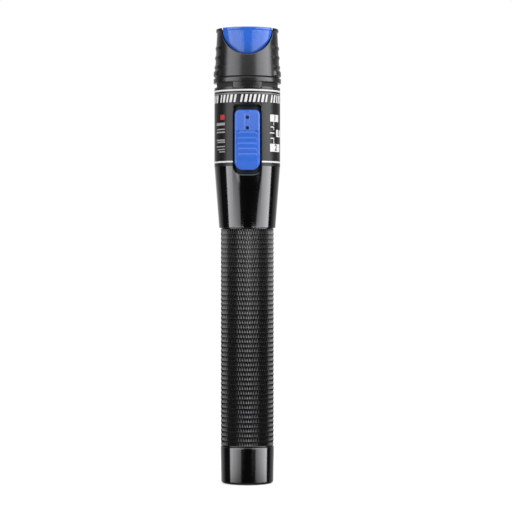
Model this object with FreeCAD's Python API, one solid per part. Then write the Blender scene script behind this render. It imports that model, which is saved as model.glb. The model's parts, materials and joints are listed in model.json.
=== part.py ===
import FreeCAD, Part
import os
from math import asin, cos, degrees, radians, sin

# Visual fault locator, pen type: a red laser that shines into a 2.5 mm fibre ferrule.
# Millimetres. The pen stands on its tail cap: Z is its long axis, the origin is the middle
# of the tail face, the dust cap is at the top and the switch faces -Y.

V = FreeCAD.Vector
UP = V(0, 0, 1)

# Lengths along the pen, from the tail face up
CAP_LENGTH = 14.2
SCREW_SEAM = 0.1          # seam between the tail cap and the grip
GRIP_LENGTH = 84.0
TAPER_LENGTH = 23.6
HEAD_LENGTH = 31.4        # straight part of the head tube
NECK_LENGTH = 2.9         # from the tube's rim to the shroud
SHROUD_LENGTH = 18.8

# Radii seen from outside
CAP_R = 10.35
CAP_TAIL_R = 10.04
CAP_ROUND = 1.2
EDGE = 0.3                # chamfer of turned edges
GRIP_R = 10.2
TAPER_R = 10.87
HEAD_R = 12.7
NECK_R = 11.9
SHROUD_TOP_R = 11.65
SHROUD_BASE_R = 12.6
LIP_R = 12.05

# Fits
RUN_FIT = 0.05            # radial clearance of parts that turn or slide in each other
LOOSE_FIT = 0.3           # clearance round parts that only lie in place
SLIP = 0.1                # clearance of parts that are put together once

# Walls
CAP_FLOOR = 2.6
TAPER_WALL = 1.1
HEAD_WALL = 1.5
SPIGOT_WALL = 1.6
SHROUD_WALL = 1.9

# Cells: two in a row fill the barrel from the tail spring to the front contact
CELL_R = 7.1
CELL_NUB = 1.3
CELL_NUB_R = 2.6
CELL_CORNER = 0.5
SPRING_LENGTH = 6.3       # the tail spring as the cells press it together

# Screw joints of the barrel
TAIL_THREAD = 6.2         # length of the barrel's spigot inside the tail cap
TUBE_SPIGOT_R = 9.3
TUBE_THREAD = 10.0        # length of the barrel's spigot inside the head tube
BARREL_GAP = 0.7          # from the barrel's end to the carrier's seat in the tube
SEAL_THICK = 0.7
SEAL_FLOOR = 0.25         # the sealing rings stay this far below the spigot's surface
TAIL_SEAL_DROP = 1.3      # from the grip's shoulder to the middle of the tail seal
HEAD_SEAL_RISE = 3.0      # from the tube's rear face to the middle of the head seal

# Tail spring and its plate
PLATE_THICK = 0.5
PLATE_R = 6.0
SPRING_WIRE = 0.4
SPRING_BASE_R = 5.2
SPRING_TOP_R = 3.4
SPRING_TURNS = 3

# Switch slot, button and slide switch
SLOT_WIDTH = 10.7
SLOT_BELOW_TAPER = 3.3    # the slot runs this far into the taper
SLOT_LENGTH = 26.5
SLOT_CORNER_TOP = 1.2
SLOT_CORNER_LOW = 2.2
BUTTON_SIDE_GAP = 0.52
BUTTON_TRAVEL = 1.5       # one switch position, each way from the middle
BUTTON_END_GAP = 0.2
BUTTON_CORNER_TOP = 2.0
BUTTON_CORNER_LOW = 2.6
BUTTON_STEP = 8.1         # length of the indicator panel above the thumb pad
PAD_RISE = 1.4            # the pad stands this far proud of the head
PAD_INSET = 0.75
PAD_CORNER = 1.3          # the pad's upper corners are cut off by this much
PAD_CROWN = 0.2           # step of the slanted edges round the pad
HEEL_LENGTH = 5.2         # sloping end below the pad's flat top
SHOULDER_RISE = 0.55      # the pad's base stands this far proud of the head
PANEL_RISE = 0.75         # the panel meets the pad this far proud of the head
PANEL_TIP_RISE = 0.2
RIB_PITCH = 2.0
RIB_COUNT = 5
RIB_HEIGHT = 0.3
RIB_HALF = 0.55
STRIP_DEPTH = 0.15
STRIP_WIDTH = 1.95
DOT_R = 0.65
DOT_START = 3.1           # from the button's upper end to the first dot
DOT_PITCH = 4.05
DOT_DEPTH = 0.3
SWITCH_WIDTH = 8.4
SWITCH_LENGTH = 13.0
SWITCH_HEIGHT = 4.6
LEVER_LENGTH = 3.9
LEVER_WIDTH = 1.9
PEG_WALL = 1.3
SLOT_PLATE_THICK = 0.6
SLOT_PLATE_WIDTH = 14.0

# Circuit board and what is on it
BOARD_WIDTH = 15.0
BOARD_THICK = 1.2
BOARD_FRONT = -3.4        # Y of the face that carries the switch
BOARD_GAP = 0.9           # from the board's end to the laser housing
CHIP = (4.0, 5.0, 1.5)
CAPACITOR_R = 2.0
CAPACITOR_HEIGHT = 5.2

# Inner carrier
CARRIER_DISC = 2.0
CARRIER_SKIRT = 1.9
CARRIER_HEAD = 2.5
RAIL_WIDTH = 2.8
RAIL_DEPTH = 7.0

# Laser module and ferrule port
HOUSING_R = 6.0
HOUSING_LENGTH = 20.5
DIODE_BASE_R = 2.8
DIODE_BASE = 1.2
DIODE_CAN_R = 1.8
DIODE_CAN = 2.8
LEAD_R = 0.225
LEAD_LENGTH = 5.0
LEAD_CIRCLE_R = 1.27
DIODE_DEPTH = 3.2         # from the housing's rear face to the diode's seat
LENS_R = 2.3
LENS_THICK = 2.0
LENS_DEPTH = 8.0          # from the housing's rear face to the lens seat
LENS_DOME = 0.5
LENS_RING = 1.5
LENS_APERTURE = 1.4
PORT_THREAD = 5.0
PORT_THREAD_R = 3.0
PORT_R = 4.0
PORT_LENGTH = 10.0
PORT_LIP = 2.0
FERRULE_R = 1.25
SLEEVE_R = 1.6
SLEEVE_LENGTH = 11.5
LIGHT_R = 0.9

# Neck ring
RING_HEIGHT = 1.6
RING_EDGE = 0.35
RING_RISE = 0.46          # the ring stands out from the shroud's base like its flange
RING_GROOVE = 0.7         # groove between the tube's rim and the ring
NECK_SPIGOT = 3.3
NECK_TOP_SPIGOT = 2.8
KEY_WIDTH = 11.0
KEY_DEPTH = 1.8
KEY_CORNER = 0.8

# Shroud, notches and dust cap
SHROUD_FLOOR = 2.3
SHROUD_EDGE = 0.4         # chamfer under the shroud
NOTCH_R = 8.9
NOTCH_RISE = 1.1          # the notch circle's centre stands this far above the rim
CAP_GAP = 0.45            # gap between the dust cap's tongues and the notches
LIP_HEIGHT = 1.1
LIP_EDGE = 0.15           # size of the lip's cut edges
SIDE_ANGLE = 34.0         # half angle of the ribbed sides
SIDE_RIBS = 3
SIDE_RIB_PITCH = 3.65
SIDE_RIB_RISE = 0.32
SIDE_RIB_HALF = 1.1
SIDE_RIB_CREST = 0.15     # half the flat top of a rib
SIDE_RIB_START = 1.9      # from the flange's top to the middle of the first rib
FLANGE_HEIGHT = 2.2
FLANGE_RISE = 0.5
FLANGE_SLOPE = 0.9        # height over which the flange runs out above
PLUG_LENGTH = 12.0
PLUG_ROOF = 2.0
PLUG_WALL = 1.4
TONGUE_LOW_R = 10.2

# Label film
LABEL_THICK = 0.1
LABEL_MARGIN = 2.1        # bare rim above the film

# Levels along Z
Z_CAP = CAP_LENGTH
Z_GRIP = Z_CAP + SCREW_SEAM
Z_TUBE = Z_GRIP + GRIP_LENGTH
Z_HEAD = Z_TUBE + TAPER_LENGTH
Z_RIM = Z_HEAD + HEAD_LENGTH
Z_SHROUD = Z_RIM + NECK_LENGTH
Z_TOP = Z_SHROUD + SHROUD_LENGTH
Z_CELLS = CAP_FLOOR + PLATE_THICK + SPRING_LENGTH
Z_STEP = Z_TUBE + TUBE_THREAD + BARREL_GAP
Z_DISC = Z_STEP + CARRIER_SKIRT
Z_CONTACT = Z_DISC - PLATE_THICK
CELL_LENGTH = (Z_CONTACT - Z_CELLS) / 2
Z_BOARD = Z_DISC + CARRIER_DISC
Z_NECK_SPIGOT = Z_RIM - NECK_SPIGOT
Z_CARRIER_HEAD = Z_NECK_SPIGOT - CARRIER_HEAD
Z_SLOT = Z_HEAD - SLOT_BELOW_TAPER
Z_FLOOR = Z_SHROUD + NECK_TOP_SPIGOT
Z_PORT = Z_FLOOR + SHROUD_FLOOR
Z_HOUSING = Z_PORT - HOUSING_LENGTH
Z_BOARD_TOP = Z_HOUSING - BOARD_GAP

# Radii and places that follow
RING_R = SHROUD_BASE_R + RING_RISE
SLOPE = (HEAD_R - TAPER_R) / TAPER_LENGTH
CELL_BORE_R = CELL_R + LOOSE_FIT
TAIL_SPIGOT_R = CELL_BORE_R + SPIGOT_WALL
HEAD_BORE_R = HEAD_R - HEAD_WALL
SHROUD_BORE_R = SHROUD_TOP_R - SHROUD_WALL
SLOT_PLATE_R = HEAD_BORE_R - 1.5 * SLIP
BUTTON_UNDER_R = SLOT_PLATE_R + LOOSE_FIT
BUTTON_WIDTH = SLOT_WIDTH - 2 * BUTTON_SIDE_GAP
BUTTON_LENGTH = SLOT_LENGTH - 2 * (BUTTON_TRAVEL + BUTTON_END_GAP)
Z_BUTTON = Z_SLOT + BUTTON_TRAVEL + BUTTON_END_GAP
Z_SWITCH = Z_BUTTON + BUTTON_LENGTH / 2


def turned(points):
    """Solid of revolution about Z from (radius, height) corners."""
    corners = [V(r, 0, z) for r, z in points]
    face = Part.Face(Part.makePolygon(corners + corners[:1]))
    return face.revolve(V(0, 0, 0), UP, 360)


def disc(radius, low, high):
    return Part.makeCylinder(radius, high - low, V(0, 0, low))


def tube(inner, outer, low, high):
    return turned([(inner, low), (outer, low), (outer, high), (inner, high)])


def block(x_half, front, back, low, high):
    """Box centred on X between two Y places and two heights."""
    return Part.makeBox(2 * x_half, back - front, high - low, V(-x_half, front, low))


def corner_arc(centre_x, centre_z, radius, start, y):
    """Quarter arc in the XZ plane, from the start angle anticlockwise."""
    places = []
    for turn in (0, 45, 90):
        angle = radians(start + turn)
        places.append(V(centre_x + radius * cos(angle), y, centre_z + radius * sin(angle)))
    return Part.Arc(*places).toShape()


def rounded_panel(width, low, high, corner_low, corner_top, front, back):
    """Panel in the XZ plane with rounded corners, thick from front to back along Y."""
    half = width / 2
    arcs = [
        corner_arc(half - corner_top, high - corner_top, corner_top, 0, front),
        corner_arc(corner_top - half, high - corner_top, corner_top, 90, front),
        corner_arc(corner_low - half, low + corner_low, corner_low, 180, front),
        corner_arc(half - corner_low, low + corner_low, corner_low, 270, front),
    ]
    edges = []
    for here, after in zip(arcs, arcs[1:] + arcs[:1]):
        edges.append(here)
        edges.append(Part.makeLine(here.Vertexes[-1].Point, after.Vertexes[0].Point))
    face = Part.Face(Part.Wire(edges))
    return face.extrude(V(0, back - front, 0))


def taper_radius(height):
    return HEAD_R - SLOPE * max(0, Z_HEAD - height)


def slot_panel(extra=0.0):
    """The switch slot as a solid that reaches through the front wall."""
    return rounded_panel(
        SLOT_WIDTH + 2 * extra, Z_SLOT - extra, Z_SLOT + SLOT_LENGTH + extra,
        SLOT_CORNER_LOW + extra, SLOT_CORNER_TOP + extra, -HEAD_R - 2, -HEAD_R / 2,
    )


def tail_cap():
    """Screw cap: round at its tail edge, with a well for the spring and a socket for the barrel."""
    bore = TAIL_SPIGOT_R + RUN_FIT
    socket = Z_CAP - TAIL_THREAD - LOOSE_FIT
    well = PLATE_R + LOOSE_FIT
    points = [(0, 0)]
    for turn in (0, 30, 60, 90):
        inset = CAP_ROUND * (1 - sin(radians(turn)))
        points.append((CAP_TAIL_R - inset, CAP_ROUND * (1 - cos(radians(turn)))))
    points += [
        (CAP_R, Z_CAP - EDGE), (CAP_R - EDGE, Z_CAP), (bore, Z_CAP),
        (bore, socket), (well, socket), (well, CAP_FLOOR), (0, CAP_FLOOR),
    ]
    return turned(points)


def tail_contact():
    return disc(PLATE_R, CAP_FLOOR, CAP_FLOOR + PLATE_THICK)


def coil_turning_points(low, high):
    """Ends of the half turns, on alternate sides, from the wide base to the narrow top."""
    halves = 2 * SPRING_TURNS
    places = []
    for index in range(halves + 1):
        share = index / halves
        radius = SPRING_BASE_R + (SPRING_TOP_R - SPRING_BASE_R) * share
        side = 1 if index % 2 == 0 else -1
        places.append(V(side * radius, 0, low + (high - low) * share))
    return places


def octagon(middle, radius, first, second):
    """Eight-sided wire section in the plane of two directions."""
    corners = []
    for turn in range(8):
        angle = radians(45 * turn + 22.5)
        corners.append(middle + first * (radius * cos(angle)) + second * (radius * sin(angle)))
    return Part.makePolygon(corners + corners[:1])


def tail_spring():
    """Cone spring of half turns that meet in line, wide end on the plate, narrow on the cell."""
    low = Z_CELLS - SPRING_LENGTH + SPRING_WIRE + RUN_FIT
    high = Z_CELLS - SPRING_WIRE - RUN_FIT
    places = coil_turning_points(low, high)
    arcs = []
    for index, (start, end) in enumerate(zip(places, places[1:])):
        side = 1 if index % 2 == 0 else -1
        middle = (start + end) * 0.5 + V(0, side * (end - start).Length / 2, 0)
        arcs.append(Part.Arc(start, middle, end).toShape())
    section = octagon(places[0], SPRING_WIRE, V(1, 0, 0), UP)
    return Part.Wire(arcs).makePipeShell([section], True, True)


def groove_floor(spigot_r):
    return spigot_r - SEAL_THICK - SEAL_FLOOR


def groove(spigot_r, middle):
    half = SEAL_THICK / 2 + SLIP
    return tube(groove_floor(spigot_r), spigot_r + 1, middle - half, middle + half)


def sealing_ring(spigot_r, middle):
    """Rubber ring with cut corners, in its groove."""
    inner = groove_floor(spigot_r) + RUN_FIT / 2
    outer = inner + SEAL_THICK
    half = SEAL_THICK / 2
    corner = SEAL_THICK / 4
    return turned([
        (inner, middle - half), (outer - corner, middle - half), (outer, middle - half + corner),
        (outer, middle + half - corner), (outer - corner, middle + half), (inner, middle + half),
    ])


def tail_seal_height():
    return Z_GRIP - TAIL_SEAL_DROP


def head_seal_height():
    return Z_TUBE + HEAD_SEAL_RISE


def grip_barrel():
    """Battery barrel: the knurled grip between two screw spigots."""
    tail = Z_GRIP - TAIL_THREAD
    head = Z_TUBE + TUBE_THREAD
    body = turned([
        (CELL_BORE_R, tail), (TAIL_SPIGOT_R, tail), (TAIL_SPIGOT_R, Z_GRIP), (GRIP_R - EDGE, Z_GRIP),
        (GRIP_R, Z_GRIP + EDGE),
        (GRIP_R, Z_TUBE), (TUBE_SPIGOT_R, Z_TUBE), (TUBE_SPIGOT_R, head), (CELL_BORE_R, head),
    ])
    body = body.cut(groove(TAIL_SPIGOT_R, tail_seal_height()))
    return body.cut(groove(TUBE_SPIGOT_R, head_seal_height()))


def cell(low):
    """Cell with its raised pole at the top."""
    high = low + CELL_LENGTH - CELL_NUB
    return turned([
        (0, low), (CELL_R, low), (CELL_R, high - CELL_CORNER), (CELL_R - CELL_CORNER, high),
        (CELL_NUB_R, high), (CELL_NUB_R, high + CELL_NUB), (0, high + CELL_NUB),
    ])


def head_tube():
    """Aluminium tube: taper, switch slot and the key notch in its rim."""
    spigot_bore = TUBE_SPIGOT_R + RUN_FIT
    full_bore = Z_HEAD - (HEAD_WALL - TAPER_WALL) / SLOPE
    film = HEAD_R - LABEL_THICK
    film_top = Z_RIM - LABEL_MARGIN
    body = turned([
        (spigot_bore, Z_TUBE), (TAPER_R - EDGE, Z_TUBE), (taper_radius(Z_TUBE + EDGE), Z_TUBE + EDGE),
        (HEAD_R, Z_HEAD), (film, Z_HEAD), (film, film_top), (HEAD_R, film_top),
        (HEAD_R, Z_RIM - EDGE), (HEAD_R - EDGE, Z_RIM), (HEAD_BORE_R, Z_RIM),
        (HEAD_BORE_R, full_bore), (taper_radius(Z_STEP) - TAPER_WALL, Z_STEP),
        (spigot_bore, Z_STEP),
    ])
    return body.cut(slot_panel()).cut(key_block(SLIP))


def label_band():
    """Matt printed film in its shallow seat round the head."""
    film = tube(HEAD_R - LABEL_THICK, HEAD_R, Z_HEAD, Z_RIM - LABEL_MARGIN)
    return film.cut(slot_panel())


def slot_plate():
    """Curved plate behind the slot, with the opening that the button's peg slides in."""
    low = Z_SLOT - 1.6
    skin = tube(SLOT_PLATE_R - SLOT_PLATE_THICK, SLOT_PLATE_R, low, Z_CARRIER_HEAD)
    front = block(SLOT_PLATE_WIDTH / 2, -HEAD_R, -HEAD_R / 2, low, Z_CARRIER_HEAD)
    gap = BUTTON_TRAVEL + LOOSE_FIT
    opening = block(peg_half_width() + LOOSE_FIT, -HEAD_R, 0,
                    Z_SWITCH - peg_half_length() - gap, Z_SWITCH + peg_half_length() + gap)
    return skin.common(front).cut(opening)


def peg_half_width():
    return LEVER_WIDTH / 2 + PEG_WALL


def peg_half_length():
    return LEVER_LENGTH / 2 + PEG_WALL


def switch_top():
    """Y of the slide switch's front face."""
    return BOARD_FRONT - SWITCH_HEIGHT


def slide_switch():
    low = Z_SWITCH - SWITCH_LENGTH / 2
    body = block(SWITCH_WIDTH / 2, switch_top(), BOARD_FRONT, low, low + SWITCH_LENGTH)
    reach = LEVER_LENGTH / 2 + BUTTON_TRAVEL + LOOSE_FIT
    well = block(LEVER_WIDTH / 2 + LOOSE_FIT, switch_top() - 1, switch_top() + lever_depth() + LOOSE_FIT,
                 Z_SWITCH - reach, Z_SWITCH + reach)
    return body.cut(well)


def lever_depth():
    return SWITCH_HEIGHT / 2


def lever_front():
    """Y of the lever's tip inside the button's peg."""
    return -(BUTTON_UNDER_R - 1.0)


def lever(extra=0.0):
    half = LEVER_LENGTH / 2 + extra
    return block(LEVER_WIDTH / 2 + extra, lever_front() - extra, switch_top() + lever_depth(),
                 Z_SWITCH - half, Z_SWITCH + half)


def button_profile():
    """Side outline of the button, thick along X: ramped panel, pad and sloping heel."""
    low = Z_BUTTON
    high = Z_BUTTON + BUTTON_LENGTH
    step = high - BUTTON_STEP
    inner = -HEAD_R * 0.7
    pad = -(HEAD_R + PAD_RISE)
    points = [
        (inner, low), (-(HEAD_R - 2.5 * PAD_CROWN), low), (-(HEAD_R + PAD_CROWN), low + 2.5 * PAD_CROWN),
        (pad + PAD_CROWN, low + HEEL_LENGTH - 4 * PAD_CROWN), (pad, low + HEEL_LENGTH),
        (pad, step - 7 * PAD_CROWN), (pad + PAD_CROWN, step - 4 * PAD_CROWN),
        (-(HEAD_R + PANEL_RISE), step),
        (-(HEAD_R + PANEL_TIP_RISE), high - 3 * PAD_CROWN), (-(HEAD_R - 2 * PAD_CROWN), high), (inner, high),
    ]
    corners = [V(-HEAD_R, y, z) for y, z in points]
    face = Part.Face(Part.makePolygon(corners + corners[:1]))
    return face.extrude(V(2 * HEAD_R, 0, 0))


def thumb_ribs():
    """Rounded ribs across the thumb pad."""
    pad = -(HEAD_R + PAD_RISE)
    first = Z_BUTTON + HEEL_LENGTH + RIB_HALF
    half = BUTTON_WIDTH / 2 - PAD_INSET - RIB_HALF
    radius = (RIB_HEIGHT ** 2 + RIB_HALF ** 2) / (2 * RIB_HEIGHT)
    ribs = []
    for index in range(RIB_COUNT):
        base = V(-half, pad - RIB_HEIGHT + radius, first + index * RIB_PITCH)
        bar = Part.makeCylinder(radius, 2 * half, base, V(1, 0, 0))
        ribs.append(bar.common(block(half, pad - 1, pad + RIB_HEIGHT, base.z - 1, base.z + 1)))
    return ribs


def switch_button():
    """Slide button: side walls, indicator panel with two dots, and a ribbed thumb pad."""
    high = Z_BUTTON + BUTTON_LENGTH
    outline = rounded_panel(BUTTON_WIDTH, Z_BUTTON, high, BUTTON_CORNER_LOW, BUTTON_CORNER_TOP,
                            -HEAD_R - 3, -HEAD_R / 2)
    body = outline.common(button_profile()).cut(disc(BUTTON_UNDER_R, Z_BUTTON - 1, high + 1))
    body = body.cut(pad_shoulders(high))
    body = body.fuse(thumb_ribs())
    body = body.cut(indicator_cuts(high))
    peg = block(peg_half_width(), -(BUTTON_UNDER_R + 0.4), switch_top() - 0.4,
                Z_SWITCH - peg_half_length(), Z_SWITCH + peg_half_length())
    return body.fuse(peg).cut(lever(RUN_FIT)).removeSplitter()


def pad_shoulders(high):
    """Steps down from the pad along both sides, so that it stands on a wider base."""
    shoulder = HEAD_R + SHOULDER_RISE
    low = Z_BUTTON + HEEL_LENGTH / 2
    top = high - BUTTON_STEP
    cuts = []
    for side in (-1, 1):
        inner = side * (BUTTON_WIDTH / 2 - PAD_INSET)
        outer = side * BUTTON_WIDTH
        corner = inner - side * PAD_CORNER
        corners = [V(inner, 0, low), V(outer, 0, low), V(outer, 0, high), V(corner, 0, top + SLIP),
                   V(corner, 0, top - SLIP), V(inner, 0, top - PAD_CORNER)]
        face = Part.Face(Part.makePolygon(corners + corners[:1]))
        prism = face.extrude(V(0, -HEAD_R, 0))
        prism.translate(V(0, -shoulder, 0))
        cuts.append(prism)
    return cuts


def indicator_cuts(high):
    """Sunk strip in the middle of the panel, with two round dots."""
    surface = HEAD_R + PANEL_TIP_RISE
    length = BUTTON_STEP - 2 * RIB_HALF
    strip = Part.makeBox(STRIP_WIDTH, HEAD_R, length)
    strip.translate(V(-STRIP_WIDTH / 2, STRIP_DEPTH - surface - HEAD_R, high - RIB_HALF - length))
    slant = degrees(asin((PANEL_RISE - PANEL_TIP_RISE) / BUTTON_STEP))
    strip.rotate(V(0, -surface, high - RIB_HALF), V(1, 0, 0), slant)
    cuts = [strip]
    for step in (0, 1):
        place = V(0, -2 * surface, high - DOT_START - step * DOT_PITCH)
        cuts.append(Part.makeCylinder(DOT_R, surface + DOT_DEPTH, place, V(0, 1, 0)))
    return cuts


def inner_carrier():
    """Plastic frame that holds the board and the laser inside the head tube."""
    low_r = taper_radius(Z_STEP) - TAPER_WALL - LOOSE_FIT
    head_r = HEAD_BORE_R - 2 * SLIP
    skirt = tube(CELL_R + 1.5, low_r, Z_STEP, Z_DISC)
    floor = disc(low_r, Z_DISC, Z_BOARD)
    head = tube(HOUSING_R + RUN_FIT, head_r, Z_CARRIER_HEAD, Z_NECK_SPIGOT)
    frame = skirt.fuse([floor, head])
    edge = BOARD_WIDTH / 2 - 0.5
    back = BOARD_FRONT + BOARD_THICK
    for side in (-1, 1):
        start = edge if side > 0 else -edge - RAIL_WIDTH
        rail = Part.makeBox(RAIL_WIDTH, RAIL_DEPTH, Z_CARRIER_HEAD - Z_BOARD,
                            V(start, -RAIL_DEPTH / 2 + (BOARD_FRONT + back) / 2, Z_BOARD))
        frame = frame.fuse(rail.common(disc(low_r, Z_BOARD, Z_CARRIER_HEAD)))
    board_path = block(BOARD_WIDTH / 2 + RUN_FIT, BOARD_FRONT, back, Z_BOARD, Z_CARRIER_HEAD)
    return frame.cut(board_path).removeSplitter()


def circuit_board():
    return block(BOARD_WIDTH / 2, BOARD_FRONT, BOARD_FRONT + BOARD_THICK, Z_BOARD, Z_BOARD_TOP)


def driver_chip():
    width, length, height = CHIP
    back = BOARD_FRONT + BOARD_THICK
    low = Z_SWITCH - length / 2
    return block(width / 2, back, back + height, low, low + length)


def capacitor():
    place = V(0, BOARD_FRONT, Z_BOARD + 2 * CAPACITOR_R)
    return Part.makeCylinder(CAPACITOR_R, CAPACITOR_HEIGHT, place, V(0, -1, 0))


def front_contact():
    return disc(PLATE_R - 2, Z_CONTACT, Z_DISC)


def laser_housing():
    """Brass body: diode seat at the rear, lens seat in the middle, port thread at the front."""
    top = Z_HOUSING + HOUSING_LENGTH
    seat = Z_HOUSING + DIODE_DEPTH
    lens = Z_HOUSING + LENS_DEPTH
    port = top - PORT_THREAD
    return turned([
        (DIODE_BASE_R + RUN_FIT, Z_HOUSING), (HOUSING_R, Z_HOUSING), (HOUSING_R, top),
        (PORT_THREAD_R + RUN_FIT, top), (PORT_THREAD_R + RUN_FIT, port), (LENS_R + RUN_FIT, port),
        (LENS_R + RUN_FIT, lens), (DIODE_CAN_R + LOOSE_FIT, lens), (DIODE_CAN_R + LOOSE_FIT, seat),
        (DIODE_BASE_R + RUN_FIT, seat),
    ])


def laser_diode():
    """Round can on its base, with three leads."""
    seat = Z_HOUSING + DIODE_DEPTH
    base = disc(DIODE_BASE_R, seat - DIODE_BASE, seat)
    body = base.fuse(disc(DIODE_CAN_R, seat, seat + DIODE_CAN))
    for turn in (0, 120, 240):
        place = V(LEAD_CIRCLE_R * cos(radians(turn)), LEAD_CIRCLE_R * sin(radians(turn)), seat - DIODE_BASE)
        body = body.fuse(Part.makeCylinder(LEAD_R, LEAD_LENGTH, place, V(0, 0, -1)))
    return body.removeSplitter()


def focus_lens():
    """Plano-convex lens, flat side on its seat."""
    low = Z_HOUSING + LENS_DEPTH
    edge = low + LENS_THICK
    radius = (LENS_R ** 2 + LENS_DOME ** 2) / (2 * LENS_DOME)
    ball = Part.makeSphere(radius, V(0, 0, edge + LENS_DOME - radius))
    return disc(LENS_R, low, edge + LENS_DOME).common(ball)


def lens_ring():
    low = Z_HOUSING + LENS_DEPTH + LENS_THICK + LENS_DOME
    return tube(LENS_APERTURE, LENS_R, low, low + LENS_RING)


def ferrule_barrel():
    """Steel port that the 2.5 mm ferrule is pushed into."""
    top = Z_PORT + PORT_LENGTH
    low = Z_PORT - PORT_THREAD
    bed = top - PORT_LIP - SLEEVE_LENGTH
    bore = SLEEVE_R + RUN_FIT
    return turned([
        (LIGHT_R, low), (PORT_THREAD_R, low), (PORT_THREAD_R, Z_PORT), (PORT_R, Z_PORT),
        (PORT_R, top - EDGE), (PORT_R - EDGE, top), (FERRULE_R, top), (FERRULE_R, top - PORT_LIP),
        (bore, top - PORT_LIP), (bore, bed), (LIGHT_R, bed),
    ])


def ceramic_sleeve():
    top = Z_PORT + PORT_LENGTH - PORT_LIP
    return tube(FERRULE_R, SLEEVE_R, top - SLEEVE_LENGTH, top)


def key_block(extra=0.0):
    """Locating key at the front of the rim, round at its lower corners."""
    low = Z_RIM - KEY_DEPTH
    panel = rounded_panel(KEY_WIDTH + 2 * extra, low - extra, Z_RIM + KEY_DEPTH,
                          KEY_CORNER, KEY_CORNER, -HEAD_R - 1, -HEAD_R / 2)
    shell = tube(HEAD_BORE_R - 0.5, HEAD_R + 10 * extra, low - extra, Z_RIM + RING_GROOVE)
    return panel.common(shell)


def neck_ring():
    """Ring with a spigot in the tube, a key in its rim and a spigot for the shroud."""
    ring_low = Z_RIM + RING_GROOVE
    ring_top = ring_low + RING_HEIGHT
    spigot_top = Z_SHROUD + NECK_TOP_SPIGOT - 2 * SLIP
    shroud_base = SHROUD_BASE_R - SHROUD_EDGE
    body = turned([
        (HOUSING_R + RUN_FIT, Z_NECK_SPIGOT), (HEAD_BORE_R - RUN_FIT, Z_NECK_SPIGOT),
        (HEAD_BORE_R - RUN_FIT, Z_RIM), (NECK_R, Z_RIM), (NECK_R, ring_low),
        (RING_R - RING_EDGE, ring_low), (RING_R, ring_low + RING_EDGE), (RING_R, ring_top - RING_EDGE),
        (RING_R - RING_EDGE, ring_top), (shroud_base, ring_top + EDGE), (shroud_base, Z_SHROUD),
        (SHROUD_BORE_R - RUN_FIT, Z_SHROUD), (SHROUD_BORE_R - RUN_FIT, spigot_top),
        (HOUSING_R + RUN_FIT, spigot_top),
    ])
    return body.fuse(key_block()).removeSplitter()


def side_sector(low, high):
    """Wedges on the left and right that hold the ribbed grip."""
    reach = HEAD_R * 2
    half = reach * sin(radians(SIDE_ANGLE))
    wedges = []
    for side in (-1, 1):
        corners = [V(0, 0, low), V(side * reach, -half, low), V(side * reach, half, low)]
        face = Part.Face(Part.makePolygon(corners + corners[:1]))
        wedges.append(face.extrude(V(0, 0, high - low)))
    return wedges[0].fuse(wedges[1])


def shroud_radius(height):
    """Outer radius of the shroud, a straight taper below its lip."""
    share = (height - Z_SHROUD) / (SHROUD_LENGTH - LIP_HEIGHT)
    return SHROUD_BASE_R + (SHROUD_TOP_R - SHROUD_BASE_R) * share


def side_ribs():
    """Ribs of the ribbed grip with the flange under them, as whole rings."""
    foot = Z_SHROUD + FLANGE_HEIGHT
    rings = [turned([
        (SHROUD_BORE_R + 1, Z_SHROUD), (SHROUD_BASE_R - SHROUD_EDGE, Z_SHROUD),
        (shroud_radius(Z_SHROUD) + FLANGE_RISE, Z_SHROUD + FLANGE_RISE),
        (shroud_radius(foot) + FLANGE_RISE, foot), (shroud_radius(foot), foot + FLANGE_SLOPE),
        (SHROUD_BORE_R + 1, foot + FLANGE_SLOPE),
    ])]
    for index in range(SIDE_RIBS):
        middle = foot + SIDE_RIB_START + index * SIDE_RIB_PITCH
        face = shroud_radius(middle)
        rings.append(turned([
            (SHROUD_BORE_R + 1, middle - SIDE_RIB_HALF), (face, middle - SIDE_RIB_HALF),
            (face + SIDE_RIB_RISE, middle - SIDE_RIB_CREST),
            (face + SIDE_RIB_RISE, middle + SIDE_RIB_CREST),
            (face, middle + SIDE_RIB_HALF), (SHROUD_BORE_R + 1, middle + SIDE_RIB_HALF),
        ]))
    return rings


def lip_profile(inner, low, low_radius):
    """Outer form of the rim: taper, then the small lip at the top."""
    lip = Z_TOP - LIP_HEIGHT
    return turned([
        (inner, low), (low_radius, low), (SHROUD_TOP_R, lip - 2 * LIP_EDGE), (LIP_R - LIP_EDGE, lip),
        (LIP_R, lip + 2 * LIP_EDGE), (LIP_R, Z_TOP - 2 * LIP_EDGE), (LIP_R - 2 * LIP_EDGE, Z_TOP),
        (inner, Z_TOP),
    ])


def notch_bar(radius):
    """Cylinder along Y that shapes the notches and the tongues."""
    return Part.makeCylinder(radius, 4 * HEAD_R, V(0, -2 * HEAD_R, Z_TOP + NOTCH_RISE), V(0, 1, 0))


def head_shroud():
    """Plastic hood round the port: two ears, a half-round notch front and back, ribbed sides."""
    outer = lip_profile(0, Z_SHROUD + SHROUD_EDGE, shroud_radius(Z_SHROUD + SHROUD_EDGE))
    foot = turned([
        (0, Z_SHROUD), (SHROUD_BASE_R - SHROUD_EDGE, Z_SHROUD),
        (shroud_radius(Z_SHROUD + SHROUD_EDGE), Z_SHROUD + SHROUD_EDGE), (0, Z_SHROUD + SHROUD_EDGE),
    ])
    outer = outer.fuse(foot)
    ribs = side_ribs()
    ribs = ribs[0].fuse(ribs[1:]).common(side_sector(Z_SHROUD, Z_TOP))
    body = outer.fuse(ribs)
    body = body.cut(disc(SHROUD_BORE_R, Z_SHROUD - 1, Z_FLOOR))
    body = body.cut(disc(HOUSING_R + LOOSE_FIT, Z_FLOOR - 1, Z_PORT + 1))
    body = body.cut(disc(SHROUD_BORE_R, Z_PORT, Z_TOP + 1))
    return body.cut(notch_bar(NOTCH_R)).removeSplitter()


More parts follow.
